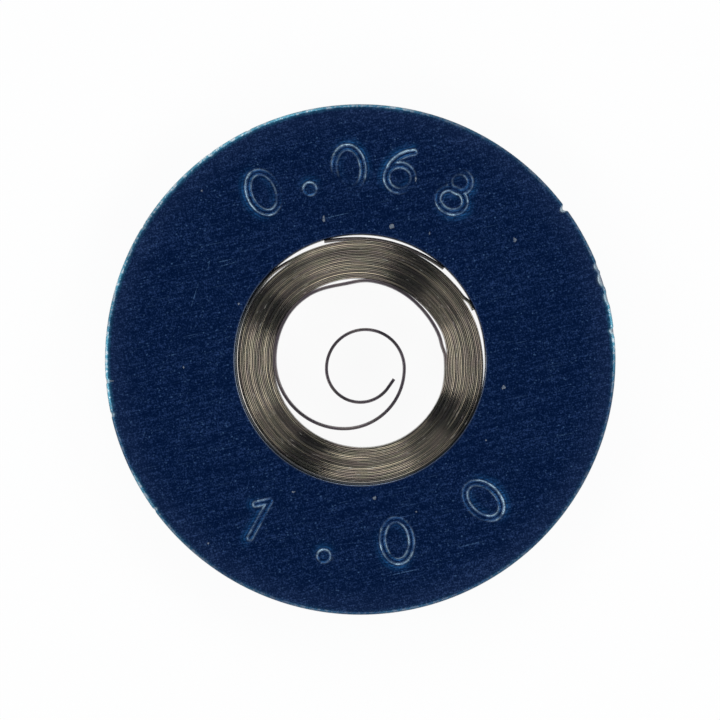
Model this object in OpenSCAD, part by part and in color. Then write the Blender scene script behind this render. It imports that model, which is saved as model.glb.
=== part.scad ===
// Spiral power spring for a watch barrel: a thin strip wound tight in its keeper ring,
// with a short bridle between the strip's outer turn and the ring's bore.
// Millimetres, +Z up. The origin is the centre of the ring's underside.
// Angles are in degrees, anticlockwise from +X, seen from above.

/* [Keeper ring] */
// Outer diameter of the ring
ring_od = 11.9; // [9:0.1:16]
// Bore of the ring, which holds the wound spring
ring_bore = 5.85; // [5.2:0.05:7]
// Thickness of the ring
ring_h = 1.2; // [1.1:0.05:2]
// Bevel of the two outer edges
outer_bevel = 0.07; // [0.02:0.01:0.2]
// Bevel of the two bore edges
bore_bevel = 0.03; // [0.01:0.01:0.1]
// Depth of the worn nick in the outer edge
nick_depth = 0.077; // [0.02:0.001:0.15]
// Width of the nick at the outer edge
nick_w = 0.2; // [0.1:0.01:0.4]
// Where the nick is
nick_at = 36.5; // [0:0.5:360]

/* [Wound strip] */
// Thickness of the strip
strip_t = 0.068; // [0.05:0.002:0.08]
// Height of the strip
strip_h = 1; // [0.6:0.05:1.1]
// Play between one turn and the next
turn_gap = 0.006; // [0.004:0.001:0.012]
// Play between turns where they lie tightest
tight_gap = 0.003; // [0.002:0.0005:0.004]
// Where the turns lie tightest
tight_at = 296; // [270:1:320]
// Play between turns where they lie loosest
loose_gap = 0.0085; // [0.006:0.0005:0.012]
// Where the turns lie loosest
loose_at = 355; // [350:1:360]
// Play between the outer turn and the bore
wall_gap = 0.004; // [0.002:0.001:0.01]
// Whole turns of the strip before the last half turn, after which it comes free
full_turns = 12; // [6:1:13]
// Where the strip's outer end lies against the bore
outer_end_at = 23.6; // [20:0.2:28]
// Where the outer end starts to bend out to the bore
end_bend_from = 32; // [30:0.5:36]
// Where the bent outer end reaches the bore
end_bend_to = 26.5; // [25:0.5:28]
// Where each turn starts to step in by one pitch
step_from = 336; // [325:1:345]
// Angle over which a turn steps in
step_over = 39; // [36:1:70]

/* [Loosened turns] */
// Width of the first opening between the inner turn and the packed turns
slit_1_w = 0.052; // [0.01:0.001:0.08]
// First opening: from, widest at, and to, around the last turn
slit_1 = [1, 11, 68]; // [-30:1:160]
// Width of the second opening
slit_2_w = 0.064; // [0.01:0.001:0.08]
// Second opening: from, widest at, and to
slit_2 = [82, 103, 130]; // [-30:1:160]
// How much of the way back to the bore the outer turn stays behind
rim_share = 0.85; // [0.1:0.05:0.9]
// Where the outer turn stays behind: from, most at, and to
rim_slit = [122, 139, 160]; // [110:1:170]

/* [Free inner coil] */
// Radius of the innermost curl, to the middle of the strip
eye_r = 0.79; // [0.6:0.01:0.9]
// Radius of the half turn that leads into the curl, to the middle of the strip
lead_r = 0.91; // [0.9:0.01:1.1]
// Angle that the innermost curl sweeps
eye_sweep = 145; // [90:1:160]
// Straight length at the strip's inner end
inner_end_len = 0.25; // [0.1:0.01:0.4]
// Place of the curl's centre
eye_at = [0, -0.21]; // [-0.3:0.01:0.1]
// Diameter of the hole that hooks on the arbor
hook_hole_d = 0.3; // [0.15:0.01:0.5]
// Angle from the end of the curl back to the hole
hook_hole_back = 16; // [12:1:40]

/* [Bridle] */
// Thickness of the bridle
bridle_t = 0.065; // [0.04:0.005:0.09]
// Height of the bridle
bridle_h = 1; // [0.6:0.05:1.1]
// Where the bridle's plain end lies against the bore
bridle_from = 47.5; // [40:0.5:52]
// Where the bridle's bent tip lies against the bore
bridle_to = 107; // [102:0.5:112]
// Where the bridle stands off the bore most
bridle_at = 78; // [74:0.5:82]
// How far the bridle stands off the bore there
bridle_sag = 0.07; // [0.04:0.002:0.08]
// Play between the bridle and the outer turn
bridle_gap = 0.006; // [0.005:0.001:0.02]

/* [Dent in the packed turns] */
// Where the dent under the bridle is deepest
dent_at = 74; // [70:0.5:78]
// How far the dent reaches on the side of the strip's outer end
dent_before = 57; // [54:0.5:62]
// How far it reaches on the other side
dent_after = 67; // [64:0.5:70]

/* [Hidden] */
$fn = 128;
bore_r = ring_bore / 2;
outer_turn_r = bore_r - wall_gap - strip_t / 2;
// The bridle's stack pushes the packed turns in by this much
dent_depth = bridle_sag + bridle_t + bridle_gap;
// Flatness of the dent's floor, and softness of its rim
dent_power = 2.5;
dent_rim = 0.3;
// Half of the angle over which the turns lie tighter, and looser
tight_half = 50;
loose_half = 22;
// The bridle bows between its plain end and its tip
bow_power = 2.3;
tip_power = 2.8;
// Angle from one corner of the strip's outline to the next, and of the bridle's
facet = 9;
bridle_facet = 1.75;
// Where the strip leaves the packed turns, on the -X side
free_from = 180;
half_turn = 180;
quarter = 90;
// Cuts pass this far beyond the faces that they open
through = 0.5;
strip_z = (ring_h - strip_h) / 2;
bridle_z = (ring_h - bridle_h) / 2;

function polar(r, a) = [r * cos(a), r * sin(a)];
function wrapped(a) = a - 360 * floor(a / 360);
function eased(u) = u <= 0 ? 0 : u >= 1 ? 1 : u * u * (3 - 2 * u);
// A smooth rise to one at the middle of three angles, and a smooth fall after it
function lobe(a, span) =
    a < span[1] ? eased((a - span[0]) / (span[1] - span[0])) : eased((span[2] - a) / (span[2] - span[1]));
// Angle from one place to another, the short way round
function apart(a, b) = abs(wrapped(a - b + half_turn) - half_turn);

// Depth of the dent at one place, as a share: a flat floor with a soft rim
function dent_half(a) = wrapped(a - dent_at) < half_turn ? dent_after : dent_before;
function dent_fall(a) = 1 - pow(apart(a, dent_at) / dent_half(a), dent_power);
function dent(a) = (dent_fall(a) + sqrt(pow(dent_fall(a), 2) + pow(dent_rim, 2))) / 2;

// Number of pitches that the strip has stepped in, after winding inwards to angle w
function steps_in(w) =
    w < step_from ? 0 : floor((w - step_from) / 360) + eased(wrapped(w - step_from) / step_over);

// The outer turn lies against the bore at its bent end, and lags behind the dent past the bridle
function outer_lift(w) =
    dent_depth * dent(w)
    * (eased((end_bend_from - w) / (end_bend_from - end_bend_to)) + rim_share * lobe(w, rim_slit));

// From the middle of one turn to the middle of the next
function pitch(w) =
    strip_t + turn_gap + (tight_gap - turn_gap) * eased(1 - apart(w, tight_at) / tight_half)
    + (loose_gap - turn_gap) * eased(1 - apart(w, loose_at) / loose_half);

// The last turn stands off the others along two openings
function slack(w) =
    slit_1_w * lobe(w - full_turns * 360, slit_1) + slit_2_w * lobe(w - full_turns * 360, slit_2);

// Radius of the strip's middle after winding inwards to angle w
function wound_r(w) =
    outer_turn_r - pitch(w) * steps_in(w) - dent_depth * dent(w) + outer_lift(w) - slack(w);

free_at = full_turns * 360 + free_from;
// Past the bent end, every turn has its corners at the same angles, so that the turns nest
first_corner = (floor(end_bend_from / facet) + 1) * facet;
wound = concat(
    [outer_end_at, end_bend_to, (end_bend_to + end_bend_from) / 2, end_bend_from],
    [for (w = [first_corner : facet : free_at]) w]
);

// The free coil runs on from the wound turns in tangent arcs: two quarter turns whose radii
// carry the strip from where it leaves the pack to the lead-in, then the lead-in and the curl
leave_x = -wound_r(free_at);
lead_c = [eye_at[0] - eye_r + lead_r, eye_at[1]];
lead_x = lead_c[0] + lead_r;
loop_1_r = (lead_x - leave_x - eye_at[1]) / 2;
loop_2_r = (lead_x - leave_x + eye_at[1]) / 2;
loop_1_c = [leave_x + loop_1_r, 0];
loop_2_c = [loop_1_c[0], loop_2_r - loop_1_r];
curl_end_at = free_from + eye_sweep;
// Each arc is its centre, its radius, and the angles it runs from and to
free_arcs = [
    [loop_1_c, loop_1_r, free_from, free_from + quarter],
    [loop_2_c, loop_2_r, free_from + quarter, 360],
    [lead_c, lead_r, 0, half_turn],
    [eye_at, eye_r, half_turn, curl_end_at]
];

// One face of the free coil, off to one side of the strip's middle
function free_face(side) = [
    for (arc = free_arcs)
        for (i = [1 : ceil((arc[3] - arc[2]) / facet)])
            arc[0] + polar(arc[1] + side, min(arc[2] + i * facet, arc[3]))
];
function inner_end(side) =
    eye_at + polar(eye_r + side, curl_end_at) + polar(inner_end_len, curl_end_at + quarter);

// One face of the whole strip, from the outer end to the inner end
function face(side) = concat(
    [for (w = wound) polar(wound_r(w) + side, w)],
    free_face(side),
    [inner_end(side)]
);
function reversed(list) = [for (i = [len(list) - 1 : -1 : 0]) list[i]];

module nick() {
    // A round cut whose chord at the outer edge is the nick's width
    cut_r = (pow(nick_w / 2, 2) + pow(nick_depth, 2)) / (2 * nick_depth);
    rotate([0, 0, nick_at])
        translate([ring_od / 2 - nick_depth + cut_r, 0, -through])
            cylinder(r = cut_r, h = ring_h + 2 * through);
}

module keeper_ring() {
    color("midnightblue")
        difference() {
            rotate_extrude()
                polygon([
                    [bore_r + bore_bevel, 0],
                    [ring_od / 2 - outer_bevel, 0],
                    [ring_od / 2, outer_bevel],
                    [ring_od / 2, ring_h - outer_bevel],
                    [ring_od / 2 - outer_bevel, ring_h],
                    [bore_r + bore_bevel, ring_h],
                    [bore_r, ring_h - bore_bevel],
                    [bore_r, bore_bevel]
                ]);
            nick();
        }
}

module hook_hole() {
    translate([eye_at[0], eye_at[1], strip_z + strip_h / 2])
        rotate([0, quarter, curl_end_at - hook_hole_back])
            translate([0, 0, eye_r - strip_t])
                cylinder(d = hook_hole_d, h = 2 * strip_t, $fn = 32);
}

module mainspring() {
    color("darkkhaki")
        difference() {
            translate([0, 0, strip_z])
                linear_extrude(strip_h)
                    polygon(concat(face(strip_t / 2), reversed(face(-strip_t / 2))));
            hook_hole();
        }
}

// How far the bridle has come off the bore at one place, as a share
function bow(a) =
    a < bridle_at ? 1 - pow((bridle_at - a) / (bridle_at - bridle_from), bow_power)
    : 1 - pow((a - bridle_at) / (bridle_to - bridle_at), tip_power);
bridle_steps = ceil((bridle_to - bridle_from) / bridle_facet);
function bridle_face(r) = [
    for (i = [0 : bridle_steps])
        let (a = bridle_from + (bridle_to - bridle_from) * i / bridle_steps)
            polar(r - bridle_sag * bow(a), a)
];

module bridle() {
    // A bowed strip whose two ends lie against the bore
    end_r = bore_r - wall_gap;
    color("dimgray")
        translate([0, 0, bridle_z])
            linear_extrude(bridle_h)
                polygon(concat(bridle_face(end_r), reversed(bridle_face(end_r - bridle_t))));
}

keeper_ring();
mainspring();
bridle();
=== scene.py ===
"""Dresses a wound watch mainspring in its blue keeper ring, as it lies on a white table."""

import math

import bmesh
import bpy
import numpy as np
from bpy.props import FloatProperty, FloatVectorProperty, IntProperty, PointerProperty
from bpy.types import Operator, Panel, PropertyGroup
from mathutils import Matrix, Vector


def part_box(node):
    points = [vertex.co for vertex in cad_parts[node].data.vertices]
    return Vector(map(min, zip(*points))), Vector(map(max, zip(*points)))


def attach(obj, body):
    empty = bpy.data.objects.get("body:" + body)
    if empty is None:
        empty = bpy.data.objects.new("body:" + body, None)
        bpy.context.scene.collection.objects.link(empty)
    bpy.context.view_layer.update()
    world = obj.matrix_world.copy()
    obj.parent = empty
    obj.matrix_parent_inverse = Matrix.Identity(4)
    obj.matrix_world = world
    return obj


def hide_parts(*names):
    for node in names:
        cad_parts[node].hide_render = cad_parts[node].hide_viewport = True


bl_info = {
    "name": "Wound Mainspring",
    "version": (1, 0, 0),
    "blender": (4, 5, 0),
    "location": "View3D > Sidebar > Mainspring",
    "description": "Makes a mainspring wound in its keeper ring, with its bridle and its finishes",
    "category": "Add Mesh",
}

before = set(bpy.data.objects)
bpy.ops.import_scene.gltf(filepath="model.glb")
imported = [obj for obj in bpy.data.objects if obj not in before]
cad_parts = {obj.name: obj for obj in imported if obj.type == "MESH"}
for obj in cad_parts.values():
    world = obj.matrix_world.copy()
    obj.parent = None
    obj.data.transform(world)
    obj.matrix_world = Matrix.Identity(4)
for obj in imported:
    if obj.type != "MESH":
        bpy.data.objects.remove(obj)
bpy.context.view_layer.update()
RING_LOW, RING_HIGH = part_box("keeper_ring")
STRIP_LOW, STRIP_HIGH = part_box("mainspring")
BRIDLE_LOW, BRIDLE_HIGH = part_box("bridle")

MM = 0.001
FULL_TURN = 360.0
HALF_TURN = 180.0
QUARTER = 90.0


def length(name, description, default):
    """A property for a size in metres."""
    return FloatProperty(
        name=name, description=description, default=default, unit="LENGTH", subtype="DISTANCE", precision=6
    )


def degrees(name, description, default):
    """A property for an angle in degrees, anticlockwise from +X."""
    return FloatProperty(name=name, description=description, default=default)


def colour(name, description, default):
    """A property for a linear colour."""
    return FloatVectorProperty(
        name=name, description=description, default=default, size=4, min=0.0, max=1.0, subtype="COLOR"
    )


class RingSettings(PropertyGroup):
    """Sizes and colours of the keeper ring."""

    bore: length("Bore", "Diameter of the ring's bore", 5.85 * MM)
    outer_round: length("Outer edge", "Rounding of the outer edges", 0.075 * MM)
    bore_round: length("Bore edge", "Rounding of the bore's edges", 0.03 * MM)
    stamp_stroke: length("Stamp stroke", "Width of a stamped stroke", 0.125 * MM)
    stamp_depth: length("Stamp depth", "Depth of a stamped stroke", 0.045 * MM)
    brush_angle: degrees("Brushing", "Direction of the brushed lines", 13.0)
    navy: colour("Navy", "Main colour of the anodised face", (0.0265, 0.0625, 0.1820, 1.0))
    deep_navy: colour("Deep navy", "Colour between the brushed lines", (0.0013, 0.0115, 0.0540, 1.0))
    # Painted highlight: the bright blue of a stamp's steep walls, and of the halo beside its deep side,
    # stands in for light that they catch
    wall_highlight_blue: colour("Bright blue", "Colour of a stamp's steep walls", (0.019, 0.125, 0.34, 1.0))
    speckle: colour("Speckle", "Colour of specks and scratches", (0.07, 0.15, 0.30, 1.0))
    edge_teal: colour("Edge teal", "Colour of the face beside the outer edge", (0.052, 0.096, 0.226, 1.0))
    deep_teal: colour("Deep teal", "Colour between the lines beside that edge", (0.011, 0.028, 0.090, 1.0))
    # Painted highlight: the outer edge's colours stand partly for bare metal where it is worn and partly for
    # light that its rounding catches, most on the upper left
    edge_highlight: colour("Edge glow", "Colour beside the worn edge", (0.040, 0.24, 0.38, 1.0))
    bare_and_lit_edge: colour("Bare edge", "Colour where the edge is worn", (0.20, 0.53, 0.66, 1.0))
    edge_glint: colour("Bright edge", "Colour of bright spots of the worn edge", (0.66, 0.78, 0.84, 1.0))
    # Bare metal at a stamp's edges, brightened as a painted highlight on the side towards the deep bite
    stamp_edge_bare_and_lit: colour("Stamp edge", "Colour of a stamp's bare edges", (0.60, 0.84, 0.98, 1.0))
    bare_metal: colour("Bare metal", "Colour of a chip in the edge", (0.34, 0.42, 0.47, 1.0))
    bore_lip: colour("Bore lip", "Colour of the bore's worn edge", (0.250, 0.295, 0.350, 1.0))


class StripSettings(PropertyGroup):
    """Sizes and colours of the wound strip. Angles are in degrees."""

    thickness: length("Thickness", "Thickness of the strip", 0.068 * MM)
    edge_crown: length("Edge", "How far the strip's edges are crowned", 0.014 * MM)
    turn_gap: length("Turn gap", "Play between turns", 0.006 * MM)
    tight_gap: length("Tight gap", "Play between turns where they lie tightest", 0.003 * MM)
    tight_at: degrees("Tight place", "Where the turns lie tightest", 296.0)
    loose_gap: length("Loose gap", "Play between turns where they lie loosest", 0.0085 * MM)
    loose_at: degrees("Loose place", "Where the turns lie loosest", 355.0)
    wall_gap: length("Wall gap", "Play between the outer turn and the bore", 0.004 * MM)
    full_turns: IntProperty(name="Turns", description="Whole turns before the last half turn", default=12)
    outer_end: degrees("Outer end", "Where the outer end lies", 23.6)
    bend_from: degrees("Bend", "Where the outer end starts to bend out to the bore", 32.0)
    bend_to: degrees("Bend end", "Where the bent outer end reaches the bore", 26.5)
    step_from: degrees("Step", "Where each turn starts to step in", 336.0)
    step_over: degrees("Step span", "Angle over which a turn steps in", 39.0)
    dent_at: degrees("Dent", "Where the dent under the bridle is deepest", 74.0)
    dent_before: degrees("Dent before", "How far the dent reaches towards the outer end", 57.0)
    dent_after: degrees("Dent after", "How far the dent reaches on the other side", 67.0)
    dent_depth: length("Dent depth", "How far the bridle pushes the turns in", 0.141 * MM)
    slit_1: length("First slit", "Width of the first opening beside the inner turn", 0.052 * MM)
    slit_2: length("Second slit", "Width of the second opening", 0.064 * MM)
    rim_share: FloatProperty(name="Rim slit", description="Share of the dent that turn 1 skips", default=0.85)
    eye_radius: length("Eye", "Radius of the innermost curl", 0.79 * MM)
    lead_radius: length("Lead-in", "Radius of the half turn before the curl", 0.91 * MM)
    eye_y: length("Eye place", "Place of the curl's centre along Y", -0.21 * MM)
    eye_sweep: degrees("Curl", "Angle that the innermost curl sweeps", 145.0)
    end_length: length("Inner end", "Straight length at the inner end", 0.25 * MM)
    hook_hole: length("Hook hole", "Diameter of the hole near the inner end", 0.3 * MM)
    hook_hole_back: degrees("Hook hole place", "Angle from the curl's end back to the hole", 16.0)
    bronze: colour("Warm grey", "Main colour of the strip", (0.350, 0.298, 0.214, 1.0))
    olive: colour("Olive grey", "Greener patches of the strip", (0.275, 0.262, 0.182, 1.0))
    mauve: colour("Mauve grey", "Redder patches of the strip", (0.300, 0.240, 0.202, 1.0))
    # Painted light: the pale grey lights up part of the outer turn, which the ring's wall shades, and
    # brightens the glints as painted highlights
    pale: colour("Pale grey", "Colour of the outer turn and the glints", (0.72, 0.69, 0.64, 1.0))
    flank: colour("Flank", "Colour of the strip's flat sides", (0.24, 0.225, 0.205, 1.0))
    # Painted shade: the groove colour darkens the strip's crowned edges where two turns meet. It also gives
    # the dark lines drawn along the flat sides.
    groove: colour("Groove", "Colour where two turns meet", (0.050, 0.045, 0.042, 1.0))
    annealed: colour("Annealed", "Colour of the softened inner end", (0.092, 0.076, 0.090, 1.0))


class BridleSettings(PropertyGroup):
    """Sizes of the bridle. Angles are in degrees."""

    thickness: length("Thickness", "Thickness of the bridle", 0.065 * MM)
    start: degrees("Plain end", "Where the plain end lies against the bore", 47.5)
    tip: degrees("Bent tip", "Where the bent tip lies against the bore", 107.0)
    lowest: degrees("Lowest", "Where the bridle stands off the bore most", 78.0)
    sag: length("Sag", "How far the bridle stands off the bore there", 0.070 * MM)


class StageSettings(PropertyGroup):
    """Camera, table and light."""

    frame_width: length("Frame width", "Width of the picture at the ring's top", 16.77 * MM)
    lens: FloatProperty(name="Lens", description="Focal length", default=240.0, unit="CAMERA")
    lift: length("Lift", "How far the ring sits above the middle of the picture", 0.012 * MM)
    aside: length("Aside", "How far the ring sits to the right of the middle", 0.006 * MM)
    panel_strength: FloatProperty(name="Panels", description="Brightness of the main panels", default=3.1)
    fill_strength: FloatProperty(name="Fill", description="Brightness of the second panels", default=1.2)
    world_strength: FloatProperty(name="Surround", description="Brightness of the surround", default=0.165)
    world_colour: colour("Surround colour", "Colour of the surround", (0.68, 0.79, 1.0, 1.0))
    table_colour: colour("Table", "Colour of the table", (0.93, 0.93, 0.93, 1.0))


# Shapes


def eased(u):
    """A smooth step from 0 to 1."""
    u = np.clip(u, 0.0, 1.0)
    return u * u * (3.0 - 2.0 * u)


def ramp(value, start, end):
    """A smooth step from 0 at one value to 1 at another."""
    return eased((value - start) / (end - start))


def away(angle, centre):
    """Signed angle from a centre, from -180 to 180 degrees."""
    return (np.asarray(angle) - centre + HALF_TURN) % FULL_TURN - HALF_TURN


def stretch(angle, centre, outer, inner=0.0):
    """A smooth rise towards a centre: 0 at the outer angle from it and 1 at the inner one."""
    return ramp(np.abs(away(angle, centre)), outer, inner)


def polar(radius, angle):
    """Points at a radius and an angle in degrees."""
    turn = np.radians(angle)
    return np.stack([radius * np.cos(turn), radius * np.sin(turn)], axis=-1)


def new_object(name, vertices, faces, smooth=True):
    """A mesh object from its corner points and its faces."""
    mesh = bpy.data.meshes.new(name)
    mesh.from_pydata([tuple(v) for v in vertices], [], [tuple(f) for f in faces])
    mesh.polygons.foreach_set("use_smooth", np.full(len(mesh.polygons), smooth))
    mesh.update()
    made = bpy.data.objects.new(name, mesh)
    bpy.context.scene.collection.objects.link(made)
    return made


def add_mask(piece, name, values):
    """A value from 0 to 1 at each corner point, which the finish reads."""
    mask = piece.data.attributes.new(name, "FLOAT", "POINT")
    mask.data.foreach_set("value", np.asarray(values, np.float32).ravel())


def add_place(piece, name, values):
    """A place at each corner point, which the finish reads."""
    place = piece.data.attributes.new(name, "FLOAT_VECTOR", "POINT")
    place.data.foreach_set("vector", np.asarray(values, np.float32).ravel())


def loop_faces(rings, points, closed_rings):
    """Four-sided faces between rings of points, each ring closed on itself."""
    ring = np.arange(rings if closed_rings else rings - 1)[:, None]
    point = np.arange(points)[None, :]
    here, there = ring * points, (ring + 1) % rings * points
    after = (point + 1) % points
    faces = np.stack([here + point, here + after, there + after, there + point], axis=-1)
    return faces.reshape(-1, 4).tolist()


# Keeper ring

# Points round an edge, and the stamped band with the step of its rows
EDGE_STEPS = 6
BAND_INNER = 3.66 * MM
BAND_OUTER = 5.11 * MM
BAND_STEP = 0.0215 * MM
# Angle between columns at a figure, on a plain stretch and at a worn place
GLYPH_STEP = 0.262
PLAIN_STEP = 1.0
WEAR_STEP = 0.19
# Half of the angle that a figure and a point take up, a figure's height, and the burr beside its strokes
GLYPH_HALF = 7.6
DOT_HALF = 2.6
GLYPH_HEIGHT = 1.12 * MM
BURR_HEIGHT = 0.008 * MM
# How far the worn colour with its painted highlight, and the haze of the outer edge, reach in
EDGE_REACH = 0.36 * MM
HAZE_REACH = 0.95 * MM
# Least wear and painted highlight of the outer edge, then its long stretch of painted highlight on the lit
# upper left, its short worn stretch and a plain stretch: the middle of each, and the angles from it at which
# it ends and is full
LEAST_WEAR_AND_HIGHLIGHT = 0.17
LONG_HIGHLIGHT = (148.0, 86.0, 40.0)
SHORT_WEAR = (6.0, 22.0, 0.0)
PLAIN_STRETCH = (199.5, 9.0, 4.5)
# How far the bore's worn lip reaches down, and the stretches with hardly any and with half of its wear
LIP_REACH = 0.15 * MM
CLEAN_LIP = (72.0, 78.0, 64.0)
FAINT_LIP = (318.0, 36.0, 18.0)
# The nick through the whole thickness: angle, depth and half of the angle that it spans
NICK = (36.5, 0.077 * MM, 1.0)
# Chips of the top's outer edge in the same terms, and how far down the wall they run
CHIPS = (
    (6.5, 0.045 * MM, 0.9),
    (14.0, 0.032 * MM, 1.6),
    (18.2, 0.052 * MM, 2.0),
    (21.4, 0.034 * MM, 1.2),
    (116.0, 0.012 * MM, 0.8),
    (126.0, 0.012 * MM, 0.8),
    (148.7, 0.016 * MM, 0.6),
    (184.9, 0.026 * MM, 0.8),
    (192.5, 0.024 * MM, 0.7),
    (216.2, 0.020 * MM, 0.6),
)
CHIP_HEIGHT = 0.28 * MM
# How far in from the edge a chip moves the surface and bares the metal, where it does so fully,
# and the loss that bares it
CHIP_REACH = (0.30 * MM, 0.06 * MM)
BARE_REACH = (0.10 * MM, 0.04 * MM)
BARE_LOSS = 0.045 * MM
# Stamped numbers, the strip's thickness at the top and its height at the bottom:
# figure, angle, radius, extra turn, the direction in which the stamp bit deeper, and by how much
STAMPS = (
    ("0", 120.0, 4.50 * MM, -6.0, 200.0, 0.90),
    (".", 106.5, 4.14 * MM, 0.0, 90.0, 0.30),
    ("0", 93.5, 4.46 * MM, 3.0, 60.0, 1.20),
    ("6", 77.5, 4.52 * MM, -4.0, 140.0, 0.85),
    ("8", 60.5, 4.50 * MM, 5.0, 300.0, 1.10),
    ("1", 237.5, 4.40 * MM, 4.0, 180.0, 0.40),
    (".", 259.5, 4.66 * MM, 0.0, 90.0, 0.20),
    ("0", 281.5, 4.30 * MM, -5.0, 250.0, 0.40),
    ("0", 311.0, 4.36 * MM, 6.0, 30.0, 0.50),
)


def curve(centre, radii, start, end, steps=20):
    """Points along part of an ellipse, in shares of a figure's height."""
    angles = np.radians(np.linspace(start, end, steps))
    return np.stack([centre[0] + radii[0] * np.cos(angles), centre[1] + radii[1] * np.sin(angles)], axis=-1)


# Each figure's strokes, in shares of its height, about its middle
FIGURES = {
    "0": (curve((0.0, 0.0), (0.30, 0.44), 0, 360, 32),),
    "1": (np.array([(-0.20, 0.24), (0.03, 0.44), (0.03, -0.44)]),),
    "6": (curve((0.0, -0.17), (0.28, 0.27), 0, 360, 28), curve((0.32, -0.17), (0.60, 0.62), 180, 108, 14)),
    "8": (curve((0.0, 0.22), (0.22, 0.21), 0, 360, 26), curve((0.0, -0.20), (0.29, 0.24), 0, 360, 28)),
    ".": (curve((0.0, 0.0), (0.085, 0.085), 0, 360, 16), curve((0.0, 0.0), (0.03, 0.03), 0, 360, 8)),
}


def distance_to(points, strokes):
    """Distance of each point from the nearest stroke, and the direction away from it."""
    nearest = np.full(len(points), 1.0)
    offset = np.zeros_like(points)
    for stroke in strokes:
        for start, end in zip(stroke[:-1], stroke[1:]):
            along = end - start
            share = np.clip((points - start) @ along / (along @ along), 0.0, 1.0)
            aside = points - start - share[:, None] * along
            gap = np.linalg.norm(aside, axis=1)
            closer = gap < nearest
            nearest[closer] = gap[closer]
            offset[closer] = aside[closer]
    return nearest, offset / np.maximum(nearest, 1e-9)[:, None]


def ring_angles():
    """Angles of the ring's columns, close together at the stamps and the worn edge."""
    zones = [(at, GLYPH_HALF if figure != "." else DOT_HALF, GLYPH_STEP) for figure, at, *_ in STAMPS]
    zones += [(at, half * 1.6, WEAR_STEP) for at, _, half in (NICK, *CHIPS)]
    angles = [0.0]
    while angles[-1] < FULL_TURN:
        steps = [step for at, half, step in zones if abs(away(angles[-1], at)) < half]
        angles.append(angles[-1] + min(steps + [PLAIN_STEP]))
    return np.array(angles[:-1]) * FULL_TURN / angles[-1]


def ring_section(settings):
    """Radius and height of the ring's section, from the foot of the bore, up, out, down and back."""
    bore, outer = settings.bore / 2, RING_HIGH.x
    low, high = RING_LOW.z, RING_HIGH.z
    small, large = settings.bore_round, settings.outer_round
    bend = np.radians(np.linspace(0, QUARTER, EDGE_STEPS))
    inner_top = [(bore + small * (1 - math.cos(b)), high - small * (1 - math.sin(b))) for b in bend]
    outer_top = [(outer - large * (1 - math.sin(b)), high - large * (1 - math.cos(b))) for b in bend]
    plain_in = [(r, high) for r in np.linspace(bore + small * 1.6, BAND_INNER, 5)]
    band = [(r, high) for r in np.arange(BAND_INNER + BAND_STEP, BAND_OUTER, BAND_STEP)]
    plain_out = [(r, high) for r in np.linspace(BAND_OUTER, outer - 1.2 * EDGE_REACH, 5)]
    rim = [(r, high) for r in np.linspace(outer - EDGE_REACH, outer - large * 1.2, 5)]
    wall = [(outer, z) for z in np.linspace(high - large * 1.3, low + large * 1.3, 9)]
    top = inner_top + plain_in + band + plain_out + rim + outer_top
    foot = [(r, low + high - z) for r, z in outer_top[::-1] + rim[::-1]]
    foot += [(r, low) for r in np.linspace(outer - 2 * EDGE_REACH, bore + small * 1.6, 5)]
    foot += [(r, low + high - z) for r, z in inner_top[::-1]]
    return np.array(top + wall + foot)


def edge_loss(angles, worn_places):
    """How much the outer edge is worn away at each angle."""
    loss = np.zeros(len(angles))
    for at, depth, half in worn_places:
        loss += depth * stretch(angles, at, half) ** 0.8
    return loss


def stamp_fields(places, settings):
    """Change of height that the stamps leave at each place, their bare rim with a painted highlight, and a
    painted highlight on their steep walls and beside them.
    """
    height, rim, wall = (np.zeros(len(places)) for _ in range(3))
    half = settings.stamp_stroke / 2
    for figure, at, radius, turn, deep_side, uneven in STAMPS:
        centre = polar(radius, at)
        reading = at - QUARTER if at < HALF_TURN else at + QUARTER
        tilt = math.radians(reading + turn)
        near = np.flatnonzero(np.linalg.norm(places - centre, axis=1) < GLYPH_HEIGHT * 0.75)
        local = places[near] - centre
        across = np.array([math.cos(tilt), math.sin(tilt)])
        up = np.array([-math.sin(tilt), math.cos(tilt)])
        points = np.stack([local @ across, local @ up], axis=-1)
        gap, aside = distance_to(points, [stroke * GLYPH_HEIGHT for stroke in FIGURES[figure]])
        deep = polar(1.0, deep_side)
        lean = local @ deep / (GLYPH_HEIGHT / 2)
        bite = np.clip(0.68 + uneven * lean, 0.02, 1.0)
        groove = 1.0 - eased((gap - 0.50 * half) / (0.5 * half))
        ridge = np.exp(-(((gap - 1.45 * half) / (0.42 * half)) ** 2))
        height[near] += bite * (BURR_HEIGHT * ridge - settings.stamp_depth * groove)
        # The rim line is bare metal with a painted highlight, brighter on the side that faces the deep bite
        faces_deep = 0.5 + 0.5 * (aside @ np.array([deep @ across, deep @ up]))
        line = np.exp(-(((gap - 1.02 * half) / (0.27 * half)) ** 2))
        rim[near] = np.maximum(rim[near], line * (0.25 + 0.75 * faces_deep) * bite)
        # Painted highlight: the wall away from the deep side, and a halo beside the deep side, are painted
        # bright as if lit
        slope = np.exp(-(((gap - 0.62 * half) / (0.34 * half)) ** 2)) * (1.0 - faces_deep)
        streaks = 0.6 + 0.4 * np.cos(math.tau * (gap / half - 1.02) / 1.15)
        glow = np.exp(-(((gap - 2.0 * half) / (1.3 * half)) ** 2)) * faces_deep**3 * streaks
        wall[near] = np.maximum(wall[near], np.maximum(slope, glow) * bite)
    return height, rim, wall


def edge_wear_and_highlight(angles):
    """How bare the outer edge is at each angle, as a share, with its painted highlight on the lit side."""
    wear = LEAST_WEAR_AND_HIGHLIGHT + (1.0 - LEAST_WEAR_AND_HIGHLIGHT) * stretch(angles, *LONG_HIGHLIGHT)
    wear = np.maximum(wear, stretch(angles, *SHORT_WEAR))
    return wear * (1.0 - 0.8 * stretch(angles, *PLAIN_STRETCH))


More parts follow.
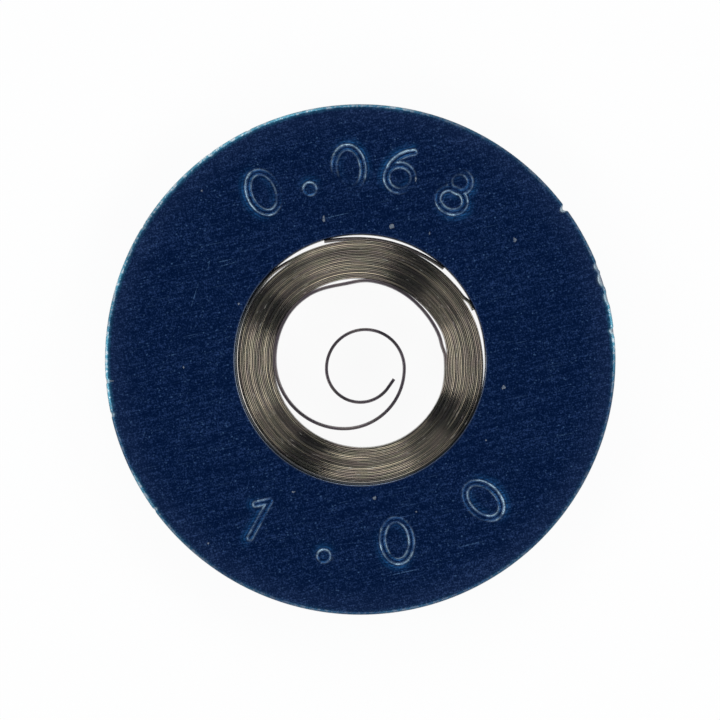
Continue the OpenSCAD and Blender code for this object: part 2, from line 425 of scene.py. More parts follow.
def lip_wear(angles):
    """How bare the bore's lip is at each angle, as a share."""
    return (1.0 - 0.88 * stretch(angles, *CLEAN_LIP)) * (1.0 - 0.5 * stretch(angles, *FAINT_LIP))


def make_ring(settings):
    """The keeper ring with its rounded and worn edges and its stamped numbers."""
    angles = ring_angles()
    section = ring_section(settings)
    outer = RING_HIGH.x
    radius = np.repeat(section[None, :, 0], len(angles), axis=0)
    height = np.repeat(section[None, :, 1], len(angles), axis=0)
    inward = outer - radius
    below = RING_HIGH.z - height
    from_face = np.minimum(below, height - RING_LOW.z)
    fade = 1.0 - eased((below - settings.outer_round) / CHIP_HEIGHT)
    chips = edge_loss(angles, CHIPS)[:, None] * fade
    loss = edge_loss(angles, (NICK,))[:, None] + chips
    radius -= loss * ramp(inward, *CHIP_REACH)
    places = polar(radius, angles[:, None]).reshape(-1, 2)
    on_top = (height >= RING_HIGH.z).ravel()
    change, rim, wall = (np.zeros(len(places)) for _ in range(3))
    change[on_top], rim[on_top], wall[on_top] = stamp_fields(places[on_top], settings)
    vertices = np.column_stack([places, height.ravel() + change])
    ring = new_object("keeper_ring_finish", vertices, loop_faces(len(angles), len(section), True))
    side_wall = eased((from_face - 0.5 * settings.outer_round) / (0.7 * settings.outer_round))
    near_edge = np.clip(1.0 - inward / EDGE_REACH, 0.0, 1.0) * (1.0 - side_wall)
    haze = eased(1.0 - inward / HAZE_REACH) ** 1.5 * (1.0 - side_wall)
    lip = 1.0 - eased((radius - settings.bore / 2) / (1.3 * settings.bore_round))
    lip *= (1.0 - eased(from_face / LIP_REACH - 0.5)) * lip_wear(angles)[:, None]
    bared = np.clip(loss / BARE_LOSS, 0.0, 1.0) * ramp(inward, *BARE_REACH)
    add_mask(ring, "stamp_rim_bare_and_lit", rim)
    add_mask(ring, "stamp_wall_highlight", wall)
    add_mask(ring, "outer_edge", near_edge)
    add_mask(ring, "edge_wear_and_highlight", np.repeat(edge_wear_and_highlight(angles), len(section)))
    add_mask(ring, "haze", haze)
    add_mask(ring, "side_wall", side_wall)
    add_mask(ring, "bore_edge", lip)
    add_mask(ring, "chipped", bared * (1.0 - 0.7 * side_wall))
    return ring


# Wound strip

# Angle between sections where the strip is wound and where it is free
WOUND_STEP = 1.5
FREE_STEP = 2.5
# Points across the crowned edge, and the height of its corners
CROWN_STEPS = 9
CORNER_STEP = 0.008 * MM
# How far the turns stand out of level, and the seed of that unevenness
WANDER = 0.022 * MM
WANDER_SEED = 11
# Turns, counted from +X, over which a painted light makes the strip pale and back, those past the last full
# turn over which it darkens, and the bridle's share of that dark colour
PALE_FROM = (0.36, 0.46)
PALE_TO = (0.75, 0.83)
DARK_FROM = (-0.08, 0.06)
BRIDLE_DARK = 0.6
# Shape of the dent, the bridle's bow and the tight and loose places, which span this much to each side
DENT_POWER = 2.5
DENT_RIM = 0.3
BOW_POWER = 2.3
TIP_POWER = 2.8
TIGHT_HALF = 50.0
LOOSE_HALF = 22.0
# Openings beside the last turn, and behind the first: from, widest at, and to
SLIT_1 = (1.0, 11.0, 68.0)
SLIT_2 = (82.0, 103.0, 130.0)
RIM_SLIT = (122.0, 139.0, 160.0)


def dent(angle, settings):
    """Share of the dent's depth at an angle: a flat floor with a soft rim."""
    past = away(angle, settings.dent_at)
    half = np.where(past > 0.0, settings.dent_after, settings.dent_before)
    fall = 1.0 - (np.abs(past) / half) ** DENT_POWER
    return (fall + np.sqrt(fall**2 + DENT_RIM**2)) / 2


def lobe(angle, span):
    """A smooth rise to 1 at the middle of three angles, and a smooth fall after it."""
    start, top, end = span
    return np.where(angle < top, ramp(angle, start, top), ramp(angle, end, top))


def turn_pitch(wind, settings):
    """From the middle of one turn to the middle of the next."""
    tight = stretch(wind, settings.tight_at, TIGHT_HALF)
    loose = stretch(wind, settings.loose_at, LOOSE_HALF)
    gap = settings.turn_gap * (1.0 - tight - loose) + settings.tight_gap * tight + settings.loose_gap * loose
    return settings.thickness + gap


def wound_radius(wind, settings, bore):
    """Radius of the strip's middle after winding inwards from the outer end."""
    outer_turn = bore / 2 - settings.wall_gap - settings.thickness / 2
    past = np.maximum(wind - settings.step_from, 0.0)
    steps = np.floor(past / FULL_TURN) + eased(past % FULL_TURN / settings.step_over)
    lift = ramp(wind, settings.bend_from, settings.bend_to)
    lift += settings.rim_share * lobe(wind, RIM_SLIT)
    last = wind - settings.full_turns * FULL_TURN
    return (
        outer_turn
        - turn_pitch(wind, settings) * steps
        - settings.dent_depth * dent(wind, settings) * (1.0 - lift)
        - settings.slit_1 * lobe(last, SLIT_1)
        - settings.slit_2 * lobe(last, SLIT_2)
    )


def free_arcs(leave_x, settings):
    """Tangent arcs from the wound turns to the curl: centre, radius, and the angles of each."""
    lead_centre = settings.lead_radius - settings.eye_radius
    lead_x = lead_centre + settings.lead_radius
    first = (lead_x - leave_x - settings.eye_y) / 2
    second = (lead_x - leave_x + settings.eye_y) / 2
    loop_x = leave_x + first
    return (
        ((loop_x, 0.0), first, HALF_TURN, HALF_TURN + QUARTER),
        ((loop_x, second - first), second, HALF_TURN + QUARTER, FULL_TURN),
        ((lead_centre, settings.eye_y), settings.lead_radius, 0.0, HALF_TURN),
        ((0.0, settings.eye_y), settings.eye_radius, HALF_TURN, HALF_TURN + settings.eye_sweep),
    )


def strip_path(settings, bore):
    """Middle line of the strip from its outer end to its inner end, and the turns wound at each point."""
    free_at = settings.full_turns * FULL_TURN + HALF_TURN
    turns = round((free_at - settings.outer_end) / WOUND_STEP)
    wind = np.linspace(settings.outer_end, free_at, turns + 1)
    path = [polar(wound_radius(wind, settings, bore), wind)]
    for centre, radius, start, end in free_arcs(path[0][-1][0], settings):
        angles = np.linspace(start, end, round((end - start) / FREE_STEP) + 1)[1:]
        path.append(np.array(centre) + polar(radius, angles))
    heading = HALF_TURN + settings.eye_sweep + QUARTER
    run = np.linspace(0.0, settings.end_length, 7)[1:]
    path.append(path[-1][-1] + run[:, None] * polar(1.0, heading))
    path = np.concatenate(path)
    return path, np.pad(wind, (0, len(path) - len(wind)), mode="edge") / FULL_TURN


def strip_section(thickness, height, crown):
    """A flat bar's section with crowned edges, about its middle."""
    across = np.linspace(1.0, -1.0, CROWN_STEPS)
    top = np.stack([across * thickness / 2, height / 2 - crown * across**2], axis=-1)
    right, left = top[0] - (0.0, CORNER_STEP), top[-1] - (0.0, CORNER_STEP)
    upper = np.concatenate([[right], top, [left]])
    return np.concatenate([upper, -upper])


def run_along(points):
    """Distance along a line to each of its points."""
    return np.concatenate([[0.0], np.cumsum(np.linalg.norm(np.diff(points, axis=0), axis=1))])


def sweep(name, path, section, crown, middle, wander):
    """A flat bar swept along a path in the plane, standing on edge."""
    along = np.gradient(path, axis=0)
    along /= np.linalg.norm(along, axis=1, keepdims=True)
    outward = np.stack([along[:, 1], -along[:, 0]], axis=-1)
    places = path[:, None, :] + section[None, :, :1] * outward[:, None, :]
    heights = middle + wander[:, None] + section[None, :, 1]
    vertices = np.concatenate([places, heights[:, :, None]], axis=2).reshape(-1, 3)
    rings, points = len(path), len(section)
    faces = [face[::-1] for face in loop_faces(rings, points, False)]
    faces.append(list(range(points)))
    faces.append(list(range(rings * points - 1, (rings - 1) * points - 1, -1)))
    made = new_object(name, vertices, faces)
    for end in made.data.polygons[-2:]:
        end.use_smooth = False
    place = np.zeros((rings, points, 3))
    place[:, :, 0] = run_along(path)[:, None] / MM
    place[:, :, 1] = run_along(section)[None, :] / MM
    add_place(made, "strip_place", place)
    tall = np.abs(section[:, 1])
    high = np.clip(1.0 - (tall.max() - tall) / crown, 0.0, 1.0)
    add_mask(made, "crown", np.repeat(high[None, :], rings, axis=0))
    return made


def face_out(piece):
    """Turns every face of a closed piece to face out."""
    shape = bmesh.new()
    shape.from_mesh(piece.data)
    bmesh.ops.recalc_face_normals(shape, faces=shape.faces)
    shape.to_mesh(piece.data)
    shape.free()


def cut_hook_hole(strip, settings):
    """Cuts the round hole that hooks on the arbor."""
    at = HALF_TURN + settings.eye_sweep - settings.hook_hole_back
    middle = (STRIP_LOW.z + STRIP_HIGH.z) / 2
    centre = polar(settings.eye_radius, at) + np.array([0.0, settings.eye_y])
    shape = bmesh.new()
    bmesh.ops.create_cone(
        shape,
        cap_ends=True,
        segments=32,
        radius1=settings.hook_hole / 2,
        radius2=settings.hook_hole / 2,
        depth=4 * settings.thickness,
        matrix=Matrix.Translation((*centre, middle))
        @ Matrix.Rotation(math.radians(at), 4, "Z")
        @ Matrix.Rotation(math.radians(QUARTER), 4, "Y"),
    )
    mesh = bpy.data.meshes.new("hook_hole")
    shape.to_mesh(mesh)
    shape.free()
    cutter = bpy.data.objects.new("hook_hole", mesh)
    bpy.context.scene.collection.objects.link(cutter)
    cut = strip.modifiers.new("hook_hole", "BOOLEAN")
    cut.operation = "DIFFERENCE"
    cut.solver = "EXACT"
    cut.object = cutter
    bpy.context.view_layer.update()
    finished = bpy.data.meshes.new_from_object(strip.evaluated_get(bpy.context.evaluated_depsgraph_get()))
    strip.modifiers.clear()
    strip.data = finished
    bpy.data.objects.remove(cutter)


def unevenness(count, turns, size, seed):
    """A slow rise and fall along the strip, since its turns never lie quite level."""
    random = np.random.default_rng(seed)
    wind = np.linspace(0.0, turns * 2 * math.pi, count)
    waves = [np.sin(wind * rate + random.uniform(0, 2 * math.pi)) for rate in (0.31, 0.83, 1.37, 2.21, 3.6)]
    return size * sum(waves) / len(waves)


def make_strip(settings, bore):
    """The wound strip with its free inner coil."""
    path, turns = strip_path(settings, bore)
    section = strip_section(settings.thickness, STRIP_HIGH.z - STRIP_LOW.z, settings.edge_crown)
    wander = unevenness(len(path), settings.full_turns + 2, WANDER, WANDER_SEED)
    middle = (STRIP_LOW.z + STRIP_HIGH.z) / 2
    strip = sweep("mainspring_strip", path, section, settings.edge_crown, middle, wander)
    # Painted light on part of the outer turn
    outer_turn = ramp(turns, *PALE_FROM) - ramp(turns, *PALE_TO)
    annealed = ramp(turns - settings.full_turns, *DARK_FROM)
    add_mask(strip, "outer_turn", np.repeat(outer_turn, len(section)))
    add_mask(strip, "annealed", np.repeat(annealed, len(section)))
    face_out(strip)
    cut_hook_hole(strip, settings)
    return strip


def bridle_bow(angles, settings):
    """How far the bridle has come off the bore, as a share."""
    plain = np.clip((settings.lowest - angles) / (settings.lowest - settings.start), 0.0, 1.0)
    bent = np.clip((angles - settings.lowest) / (settings.tip - settings.lowest), 0.0, 1.0)
    return 1.0 - plain**BOW_POWER - bent**TIP_POWER


def make_bridle(settings, strip, bore):
    """The bowed bridle between the outer turn and the bore."""
    angles = np.linspace(settings.start, settings.tip, 90)
    radius = bore / 2 - strip.wall_gap - settings.sag * bridle_bow(angles, settings)
    path = polar(radius - settings.thickness / 2, angles)
    section = strip_section(settings.thickness, BRIDLE_HIGH.z - BRIDLE_LOW.z, strip.edge_crown)
    level = np.zeros(len(path))
    tall = (BRIDLE_LOW.z + BRIDLE_HIGH.z) / 2
    bridle = sweep("bridle_strip", path, section, strip.edge_crown, tall, level)
    add_mask(bridle, "annealed", np.full(len(path) * len(section), BRIDLE_DARK))
    face_out(bridle)
    return bridle


# Finishes


def link(tree, source, target):
    """Feeds a socket from another socket, or sets it."""
    if isinstance(source, bpy.types.NodeSocket):
        tree.links.new(source, target)
    else:
        target.default_value = source


def put(node, **values):
    """Sets a node's inputs by their names."""
    for name, value in values.items():
        node.inputs[name].default_value = value


def math_node(tree, operation, first, second=0.0, clamp=False):
    """One step of arithmetic."""
    made = tree.nodes.new("ShaderNodeMath")
    made.operation = operation
    made.use_clamp = clamp
    link(tree, first, made.inputs[0])
    link(tree, second, made.inputs[1])
    return made.outputs[0]


def times(tree, first, second):
    """The product of two values."""
    return math_node(tree, "MULTIPLY", first, second)


def plus(tree, first, second):
    """The sum of two values."""
    return math_node(tree, "ADD", first, second)


def mix_colour(tree, share, first, second):
    """A blend of two colours."""
    made = tree.nodes.new("ShaderNodeMix")
    made.data_type = "RGBA"
    link(tree, share, made.inputs[0])
    link(tree, first, made.inputs[6])
    link(tree, second, made.inputs[7])
    return made.outputs[2]


def remap(tree, value, low, high, to_low=0.0, to_high=1.0):
    """A value moved from one range to another, and kept inside it."""
    made = tree.nodes.new("ShaderNodeMapRange")
    made.interpolation_type = "SMOOTHSTEP"
    for socket, number in zip(made.inputs, (value, low, high, to_low, to_high)):
        link(tree, number, socket)
    return made.outputs[0]


def mask(tree, name):
    """The value that a mesh carries under a name."""
    made = tree.nodes.new("ShaderNodeAttribute")
    made.attribute_name = name
    return made.outputs["Fac"]


def stretched(tree, place, size, turn=0.0, centre=(0.0, 0.0)):
    """Coordinates about a centre in which a feature of the given size measures one."""
    made = tree.nodes.new("ShaderNodeMapping")
    made.vector_type = "TEXTURE"
    put(made, Location=(*centre, 0.0), Rotation=(0.0, 0.0, math.radians(turn)))
    put(made, Scale=np.broadcast_to(size, 3).tolist())
    tree.links.new(place, made.inputs["Vector"])
    return made.outputs["Vector"]


def oval(tree, place, centre, size, turn):
    """A tapered mark on the top face: 1 in its middle and 0 outside."""
    local = stretched(tree, place, (size[0] / 2, size[1] / 2, 1.0), turn, centre)
    reach = tree.nodes.new("ShaderNodeVectorMath")
    reach.operation = "LENGTH"
    tree.links.new(local, reach.inputs[0])
    return remap(tree, reach.outputs["Value"], 1.0, 0.3)


def noise(tree, place, size, detail=2.0, roughness=0.5, turn=0.0):
    """Soft noise with features of about the given size."""
    made = tree.nodes.new("ShaderNodeTexNoise")
    put(made, Scale=1.0, Detail=detail, Roughness=roughness)
    tree.links.new(stretched(tree, place, size, turn), made.inputs["Vector"])
    return made.outputs["Fac"]


def specks(tree, place, size, share):
    """Round specks in some cells of a grid: 1 in a speck and 0 elsewhere."""
    made = tree.nodes.new("ShaderNodeTexVoronoi")
    put(made, Scale=1.0)
    tree.links.new(place, made.inputs["Vector"])
    parts = tree.nodes.new("ShaderNodeSeparateColor")
    tree.links.new(made.outputs["Color"], parts.inputs[0])
    chosen = math_node(tree, "LESS_THAN", parts.outputs[0], share)
    inside = remap(tree, made.outputs["Distance"], size, size * 0.35)
    level = times(tree, inside, parts.outputs[1])
    return times(tree, chosen, level)


def bump(tree, height, strength, distance):
    """Small relief from a height."""
    made = tree.nodes.new("ShaderNodeBump")
    put(made, Strength=strength, Distance=distance)
    tree.links.new(height, made.inputs["Height"])
    return made.outputs["Normal"]


def new_finish(name):
    """A material with its node tree and its main shader."""
    finish = bpy.data.materials.new(name)
    finish.use_nodes = True
    return finish, finish.node_tree, finish.node_tree.nodes["Principled BSDF"]


# Scratches on the ring's top: place, length and direction
SCRATCHES = (
    ((-3.08 * MM, 2.22 * MM), 0.62 * MM, 16.0),
    ((-3.16 * MM, 2.30 * MM), 0.50 * MM, 14.0),
    ((-3.52 * MM, 2.24 * MM), 0.36 * MM, 78.0),
    ((-3.86 * MM, 1.48 * MM), 0.80 * MM, 73.0),
    ((-4.40 * MM, 0.10 * MM), 0.30 * MM, 12.0),
    ((1.05 * MM, -4.95 * MM), 1.10 * MM, 12.0),
    ((2.60 * MM, -4.30 * MM), 0.75 * MM, 14.0),
    ((4.75 * MM, -1.75 * MM), 0.60 * MM, 11.0),
    ((-0.55 * MM, 3.35 * MM), 0.90 * MM, 13.0),
)
SCRATCH_WIDTH = 0.030 * MM
# Sizes of the anodised finish's marks along the brushing, across it and in depth
FINE_LINES = (0.30 * MM, 0.030 * MM, 0.2 * MM)
BROAD_LINES = (2.4 * MM, 0.13 * MM, 0.4 * MM)
LONG_LINES = (0.8 * MM, 0.018 * MM, 0.2 * MM)
GRAIN = (0.030 * MM, 0.036 * MM, 0.032 * MM)
DOTS = (0.090 * MM, 0.072 * MM, 0.10 * MM)
# Sizes of the worn places' patches, breaks and longer stretches, and of the lines turned into the wall
PATCHES = 0.10 * MM
BREAKS = 0.30 * MM
STRETCHES = 1.1 * MM
TURNED_LINES = (8.0 * MM, 8.0 * MM, 0.016 * MM)


def anodised_finish(settings):
    """Dark blue anodised aluminium over straight brushing, with specks, scratches, worn edges and painted
    highlights on the outer edge and the stamps.
    """
    finish, tree, shader = new_finish("anodised_blue")
    place = tree.nodes.new("ShaderNodeTexCoord").outputs["Object"]
    turn = settings.brush_angle
    fine = noise(tree, place, FINE_LINES, 3.0, 0.6, turn)
    broad = noise(tree, place, BROAD_LINES, turn=turn + 2.0)
    grain = noise(tree, place, GRAIN, 1.0, turn=turn)
    brushed = times(tree, fine, 0.36)
    brushed = plus(tree, brushed, times(tree, broad, 0.16))
    brushed = plus(tree, brushed, times(tree, grain, 0.48))
    bright = math_node(tree, "POWER", remap(tree, brushed, 0.42, 0.70), 1.4)
    base = mix_colour(tree, bright, settings.deep_navy, settings.navy)
    dots = specks(tree, stretched(tree, place, DOTS, turn), 0.36, 0.60)
    dots = times(tree, dots, remap(tree, grain, 0.36, 0.62))
    lines = noise(tree, place, LONG_LINES, 1.0, turn=turn - 1.5)
    marks = remap(tree, lines, 0.68, 0.82, 0.0, 0.6)
    for centre, length_along, direction in SCRATCHES:
        mark = oval(tree, place, centre, (length_along, SCRATCH_WIDTH), direction)
        mark = times(tree, mark, remap(tree, grain, 0.3, 0.6))
        marks = math_node(tree, "MAXIMUM", marks, mark)
    base = mix_colour(tree, times(tree, dots, 0.85), base, settings.speckle)
    base = mix_colour(tree, marks, base, settings.speckle)
    patchy = noise(tree, place, PATCHES)
    patchy = remap(tree, patchy, 0.32, 0.64)
    broken = noise(tree, place, BREAKS, 1.0)
    broken = remap(tree, broken, 0.36, 0.58)
    # Painted highlight on the stamps' steep walls and halo, streaked along the brushing
    streaky = remap(tree, fine, 0.38, 0.6, 0.15, 1.0)
    wall = times(tree, mask(tree, "stamp_wall_highlight"), streaky)
    base = mix_colour(tree, wall, base, settings.wall_highlight_blue)
    # Bare stamp rims with their painted highlight
    rim = times(tree, mask(tree, "stamp_rim_bare_and_lit"), remap(tree, patchy, 0.0, 1.0, 0.40, 1.0))
    rim = times(tree, rim, remap(tree, broken, 0.0, 1.0, 0.26, 1.0))
    base = mix_colour(tree, rim, base, settings.stamp_edge_bare_and_lit)
    # Painted highlight and wear: the outer edge is painted pale teal to white where it is bare and where its
    # rounding would catch light
    edge = plus(tree, mask(tree, "outer_edge"), times(tree, patchy, 0.06))
    teal = mix_colour(tree, bright, settings.deep_teal, settings.edge_teal)
    base = mix_colour(tree, times(tree, mask(tree, "haze"), 0.6), base, teal)
    stretches = noise(tree, place, STRETCHES)
    wear = times(tree, mask(tree, "edge_wear_and_highlight"), remap(tree, stretches, 0.36, 0.58, 0.5, 1.0))
    glow = times(tree, remap(tree, edge, 0.60, 0.95, 0.0, 0.6), wear)
    base = mix_colour(tree, glow, base, settings.edge_highlight)
    bare = times(tree, remap(tree, edge, 0.80, 0.99), wear)
    worn = mix_colour(tree, remap(tree, patchy, 0.55, 0.95), settings.bare_and_lit_edge, settings.edge_glint)
    base = mix_colour(tree, bare, base, worn)
    turned = noise(tree, place, TURNED_LINES)
    turned = remap(tree, turned, 0.30, 0.70, 0.30, 0.60)
    side = mix_colour(tree, turned, settings.deep_navy, settings.navy)
    base = mix_colour(tree, mask(tree, "side_wall"), base, side)
    lip = times(tree, mask(tree, "bore_edge"), 0.8)
    base = mix_colour(tree, lip, base, settings.bore_lip)
    base = mix_colour(tree, mask(tree, "chipped"), base, settings.bare_metal)
    link(tree, base, shader.inputs["Base Color"])
    link(tree, remap(tree, lip, 0.0, 0.8, 0.6, 1.0), shader.inputs["Metallic"])
    shader.inputs["Specular IOR Level"].default_value = 0.03
    rough = remap(tree, brushed, 0.3, 0.7, 0.34, 0.50)
    rough = math_node(tree, "SUBTRACT", rough, times(tree, lip, 0.28))
    link(tree, rough, shader.inputs["Roughness"])
    link(tree, bump(tree, brushed, 0.2, 0.004 * MM), shader.inputs["Normal"])
    return finish


# Sizes of the spring's marks along the strip, around its section and in depth, in millimetres
DRAWN_LINES = (0.9, 0.010, 0.6)
TINTS = (0.45, 0.30, 1.0)
DASHES = (2.6, 0.055, 1.0)
GLINTS = (0.24, 0.035, 1.0)
SCUFFS = (3.1, 0.07, 1.0)
SLOW_CHANGE = (4.0, 2.0, 3.0)
# How far from the strip's middle its flat sides end and its edges' finish starts
FLAT_TO = 0.40 * MM
EDGE_FROM = 0.46 * MM


def spring_finish(settings, name):
    """Warm grey spring alloy with lines along the strip, painted shade in the grooves between turns, painted
    light on part of the outer turn and a darker annealed end.
    """
    finish, tree, shader = new_finish(name)
    place = tree.nodes.new("ShaderNodeAttribute")
    place.attribute_name = "strip_place"
    place = place.outputs["Vector"]
    drawn = noise(tree, place, DRAWN_LINES)
    patches = noise(tree, place, TINTS)
    dashes = noise(tree, place, DASHES, 2.0, 0.6)
    slow = noise(tree, place, SLOW_CHANGE)
    base = mix_colour(tree, remap(tree, patches, 0.36, 0.64), settings.olive, settings.mauve)
    base = mix_colour(tree, remap(tree, dashes, 0.42, 0.72), base, settings.bronze)
    # Painted light: part of the outer turn is painted pale
    base = mix_colour(tree, times(tree, mask(tree, "outer_turn"), 0.7), base, settings.pale)
    glints = noise(tree, place, GLINTS, 1.0)
    glints = remap(tree, glints, 0.62, 0.76)
    base = mix_colour(tree, times(tree, glints, 0.5), base, settings.pale)
    light = remap(tree, dashes, 0.32, 0.68, 0.18, 1.0)
    light = math_node(tree, "MAXIMUM", light, glints)
    light = times(tree, light, remap(tree, slow, 0.3, 0.7, 0.60, 1.0))
    # Painted shade: the crowned edges, and the strands where the brightness is low, go to the groove colour
    # as shade between turns
    crown = remap(tree, mask(tree, "crown"), 0.0, 0.45)
    base = mix_colour(tree, times(tree, light, crown), settings.groove, base)
    height = tree.nodes.new("ShaderNodeSeparateXYZ")
    tree.links.new(tree.nodes.new("ShaderNodeTexCoord").outputs["Object"], height.inputs[0])
    from_middle = math_node(tree, "SUBTRACT", height.outputs["Z"], (STRIP_LOW.z + STRIP_HIGH.z) / 2)
    from_middle = math_node(tree, "ABSOLUTE", from_middle)
    flat = remap(tree, from_middle, EDGE_FROM, FLAT_TO)
    steel = mix_colour(tree, remap(tree, drawn, 0.35, 0.65), settings.groove, settings.flank)
    base = mix_colour(tree, flat, base, steel)
    soft = times(tree, mask(tree, "annealed"), remap(tree, patches, 0.35, 0.65, 0.75, 0.95))
    base = mix_colour(tree, soft, base, settings.annealed)
    link(tree, base, shader.inputs["Base Color"])
    shader.inputs["Metallic"].default_value = 1.0
    scuffed = noise(tree, place, SCUFFS)
    rough = remap(tree, scuffed, 0.45, 0.70, 0.14, 0.38)
    rough = plus(tree, rough, times(tree, glints, 0.2))
    rough = plus(tree, rough, times(tree, mask(tree, "annealed"), 0.18))
    link(tree, rough, shader.inputs["Roughness"])
    link(tree, bump(tree, drawn, 0.2, 0.002 * MM), shader.inputs["Normal"])
    return finish


# Size of the lint's fluff, and its colours
FLUFF = 0.03 * MM
LINT_SHADE = (0.06, 0.09, 0.14, 1.0)
LINT_PALE = (0.20, 0.23, 0.27, 1.0)


def lint_finish():
    """Pale grey lint."""
    finish, tree, shader = new_finish("pale_lint")
    place = tree.nodes.new("ShaderNodeTexCoord").outputs["Object"]
    fluff = noise(tree, place, FLUFF, 3.0)
    base = mix_colour(tree, remap(tree, fluff, 0.3, 0.7), LINT_SHADE, LINT_PALE)
    link(tree, base, shader.inputs["Base Color"])
    shader.inputs["Roughness"].default_value = 0.9
    return finish


# Size of the table's faint mottling, and the share of plain white where it is seen directly
MOTTLING = 6 * MM
TABLE_WHITE = 0.94


def table_finish(settings):
    """A white table that looks white from every side and still takes the shadow."""
    finish, tree, shader = new_finish("white_table")
    tree.nodes.remove(shader)
    place = tree.nodes.new("ShaderNodeTexCoord").outputs["Object"]
    grain = noise(tree, place, MOTTLING)
    matte = tree.nodes.new("ShaderNodeBsdfDiffuse")
    pale = [c * 0.97 for c in settings.table_colour[:3]] + [1.0]
    link(tree, mix_colour(tree, grain, pale, tuple(settings.table_colour)), matte.inputs["Color"])
    rays = tree.nodes.new("ShaderNodeLightPath").outputs
    seen = plus(tree, rays["Is Camera Ray"], rays["Is Glossy Ray"])
    seen = math_node(tree, "ADD", seen, rays["Is Transmission Ray"], clamp=True)
    glow = tree.nodes.new("ShaderNodeEmission")
    both = tree.nodes.new("ShaderNodeMixShader")
    link(tree, times(tree, seen, TABLE_WHITE), both.inputs[0])
    link(tree, matte.outputs[0], both.inputs[1])
    link(tree, glow.outputs[0], both.inputs[2])
    link(tree, both.outputs[0], tree.nodes["Material Output"].inputs["Surface"])
    return finish


# Lint

# Flecks of lint on the ring's top: place along X and Y, width and length
FLECKS = MM * np.array([
    (-0.850, 3.270, 0.090, 0.190),
    (0.741, 3.105, 0.150, 0.140),
    (3.602, 2.789, 0.100, 0.125),
    (3.340, -0.645, 0.115, 0.120),
    (0.335, -3.226, 0.100, 0.095),
    (-2.834, 1.294, 0.060, 0.075),
    (-4.118, -0.178, 0.050, 0.070),
    (-3.693, 3.929, 0.055, 0.060),
    (-1.563, -3.083, 0.120, 0.055),
    (-3.539, -4.284, 0.060, 0.050),
    (2.929, -1.883, 0.050, 0.055),
    (1.301, -3.548, 0.070, 0.040),
    (1.614, 2.936, 0.040, 0.085),
    (1.292, 4.200, 0.048, 0.130),
    (-5.790, -0.500, 0.150, 0.050),
])
FLECK_CORNERS = 9
FLECK_HEIGHT = 0.008 * MM
FLECK_SEED = 3


def make_lint():
    """Small crumbs of lint that lie on the ring."""
    random = np.random.default_rng(FLECK_SEED)
    vertices, faces = [], []
    for x, y, *size in FLECKS:
        first = len(vertices)
        angles = np.linspace(0, FULL_TURN, FLECK_CORNERS, endpoint=False)
        spread = polar(random.uniform(0.55, 1.1, FLECK_CORNERS), angles) * np.array(size) / 2
        floor, crown = RING_HIGH.z, RING_HIGH.z + FLECK_HEIGHT
        vertices += [(*p, floor) for p in (x, y) + spread] + [(*p, crown) for p in (x, y) + 0.7 * spread]
        low = list(range(first, first + FLECK_CORNERS))
        high = [point + FLECK_CORNERS for point in low]
        faces += [low[::-1], high, *zip(low, low[1:] + low[:1], high[1:] + high[:1], high)]
    return new_object("lint_flecks", vertices, faces)


# Operators


class MAINSPRING_OT_ring(Operator):
    """Makes the keeper ring with its stamped numbers and its anodised finish"""

    bl_idname = "mainspring.ring"
    bl_label = "Keeper Ring"

    def execute(self, context):
        settings = context.scene.mainspring_ring
        ring = make_ring(settings)
        ring.data.materials.append(anodised_finish(settings))
        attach(ring, "root")
        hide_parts("keeper_ring")
        return {"FINISHED"}


class MAINSPRING_OT_strip(Operator):
    """Makes the wound strip with its free inner coil"""

    bl_idname = "mainspring.strip"
    bl_label = "Wound Strip"

    def execute(self, context):
        settings = context.scene.mainspring_strip
        strip = make_strip(settings, context.scene.mainspring_ring.bore)
        strip.data.materials.append(spring_finish(settings, "spring_alloy"))
        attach(strip, "root")
        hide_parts("mainspring")
        return {"FINISHED"}


class MAINSPRING_OT_bridle(Operator):
    """Makes the bowed bridle between the outer turn and the bore"""

    bl_idname = "mainspring.bridle"
    bl_label = "Bridle"

    def execute(self, context):
        scene = context.scene
        bridle = make_bridle(scene.mainspring_bridle, scene.mainspring_strip, scene.mainspring_ring.bore)
        bridle.data.materials.append(spring_finish(scene.mainspring_strip, "bridle_alloy"))
        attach(bridle, "root")
        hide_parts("bridle")
        return {"FINISHED"}


class MAINSPRING_OT_lint(Operator):
    """Makes the flecks of lint on the ring"""

    bl_idname = "mainspring.lint"
    bl_label = "Lint"

    def execute(self, context):
        lint = make_lint()
        lint.data.materials.append(lint_finish())
        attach(lint, "root")
        return {"FINISHED"}


TABLE_HALF = 600 * MM
TABLE_DROP = 0.002 * MM
PANEL_DISTANCE = 60 * MM
PANEL_ELEVATION = 38.0
# Panels of each side of the light box: angle, width and height as seen from the ring
MAIN_PANEL = (5.0, 36 * MM, 30 * MM)
FILL_PANEL = (36.0, 22 * MM, 26 * MM)


def add_panel(name, side, panel, strength):
    """A soft light panel that faces the ring from one side of the light box."""
    at, width, height = panel
    at += QUARTER * side
    data = bpy.data.lights.new(name, "AREA")
    data.shape = "RECTANGLE"
    data.size = width
    data.size_y = height
    data.energy = strength * math.pi * width * height
    lamp = bpy.data.objects.new(name, data)
    bpy.context.scene.collection.objects.link(lamp)
    rise = math.radians(PANEL_ELEVATION)
    flat = polar(PANEL_DISTANCE * math.cos(rise), at)
    lamp.location = (*flat, PANEL_DISTANCE * math.sin(rise))
    lamp.rotation_euler = (math.radians(QUARTER) - rise, 0.0, math.radians(at + QUARTER))


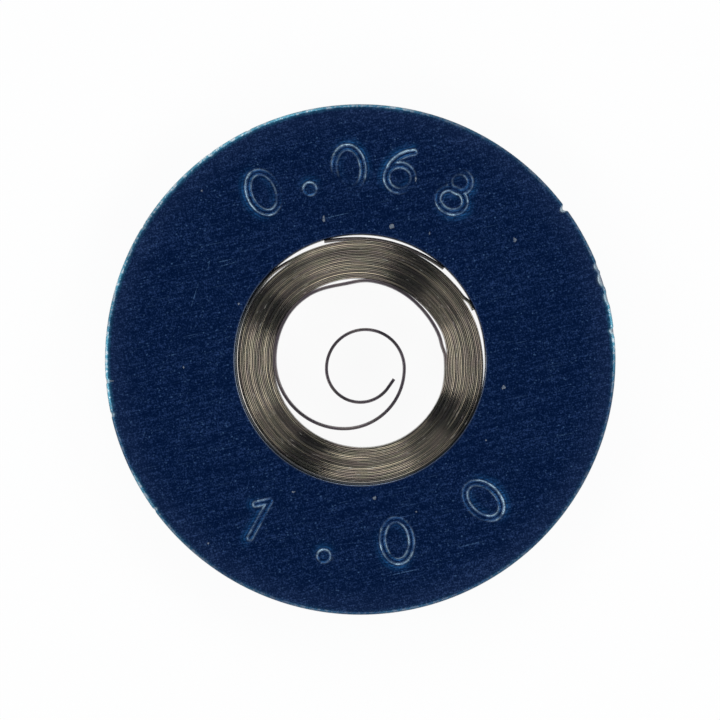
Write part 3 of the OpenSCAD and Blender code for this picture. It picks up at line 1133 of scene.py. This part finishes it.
class MAINSPRING_OT_stage(Operator):
    """Makes the table, the light panels and the camera"""

    bl_idname = "mainspring.stage"
    bl_label = "Stage"

    def execute(self, context):
        scene = context.scene
        settings = scene.mainspring_stage
        scene.view_settings.view_transform = "Standard"
        corners = TABLE_HALF * np.array([(-1, -1), (1, -1), (1, 1), (-1, 1)])
        level = RING_LOW.z - TABLE_DROP
        table = new_object("table", [(*corner, level) for corner in corners], [(0, 1, 2, 3)], smooth=False)
        table.data.materials.append(table_finish(settings))
        for side in range(4):
            add_panel(f"main_panel_{side}", side, MAIN_PANEL, settings.panel_strength)
            add_panel(f"fill_panel_{side}", side, FILL_PANEL, settings.fill_strength)
        world = bpy.data.worlds.new("surround")
        world.use_nodes = True
        surround = world.node_tree.nodes["Background"]
        put(surround, Color=settings.world_colour, Strength=settings.world_strength)
        scene.world = world
        data = bpy.data.cameras.new("overhead_camera")
        data.lens = settings.lens
        distance = settings.frame_width * settings.lens / data.sensor_width
        camera = bpy.data.objects.new("overhead_camera", data)
        camera.location = (-settings.aside, -settings.lift, RING_HIGH.z + distance)
        scene.collection.objects.link(camera)
        scene.camera = camera
        return {"FINISHED"}


class MAINSPRING_PT_panel(Panel):
    """Lists the pieces of the wound mainspring"""

    bl_idname = "MAINSPRING_PT_panel"
    bl_label = "Wound Mainspring"
    bl_space_type = "VIEW_3D"
    bl_region_type = "UI"
    bl_category = "Mainspring"

    def draw(self, context):
        scene = context.scene
        groups = (
            (MAINSPRING_OT_ring, scene.mainspring_ring),
            (MAINSPRING_OT_strip, scene.mainspring_strip),
            (MAINSPRING_OT_bridle, scene.mainspring_bridle),
            (MAINSPRING_OT_lint, None),
            (MAINSPRING_OT_stage, scene.mainspring_stage),
        )
        for operator, settings in groups:
            box = self.layout.box()
            box.operator(operator.bl_idname)
            for name in getattr(settings, "__annotations__", {}):
                box.prop(settings, name)


GROUPS = {
    "mainspring_ring": RingSettings,
    "mainspring_strip": StripSettings,
    "mainspring_bridle": BridleSettings,
    "mainspring_stage": StageSettings,
}
CLASSES = (
    *GROUPS.values(),
    MAINSPRING_OT_ring,
    MAINSPRING_OT_strip,
    MAINSPRING_OT_bridle,
    MAINSPRING_OT_lint,
    MAINSPRING_OT_stage,
    MAINSPRING_PT_panel,
)


def register():
    for made in CLASSES:
        bpy.utils.register_class(made)
    for name, group in GROUPS.items():
        setattr(bpy.types.Scene, name, PointerProperty(type=group))


def unregister():
    for name in GROUPS:
        delattr(bpy.types.Scene, name)
    for made in reversed(CLASSES):
        bpy.utils.unregister_class(made)


def main():
    register()
    bpy.ops.mainspring.stage()
    bpy.ops.mainspring.ring()
    bpy.ops.mainspring.strip()
    bpy.ops.mainspring.bridle()
    bpy.ops.mainspring.lint()


if __name__ == "__main__":
    main()
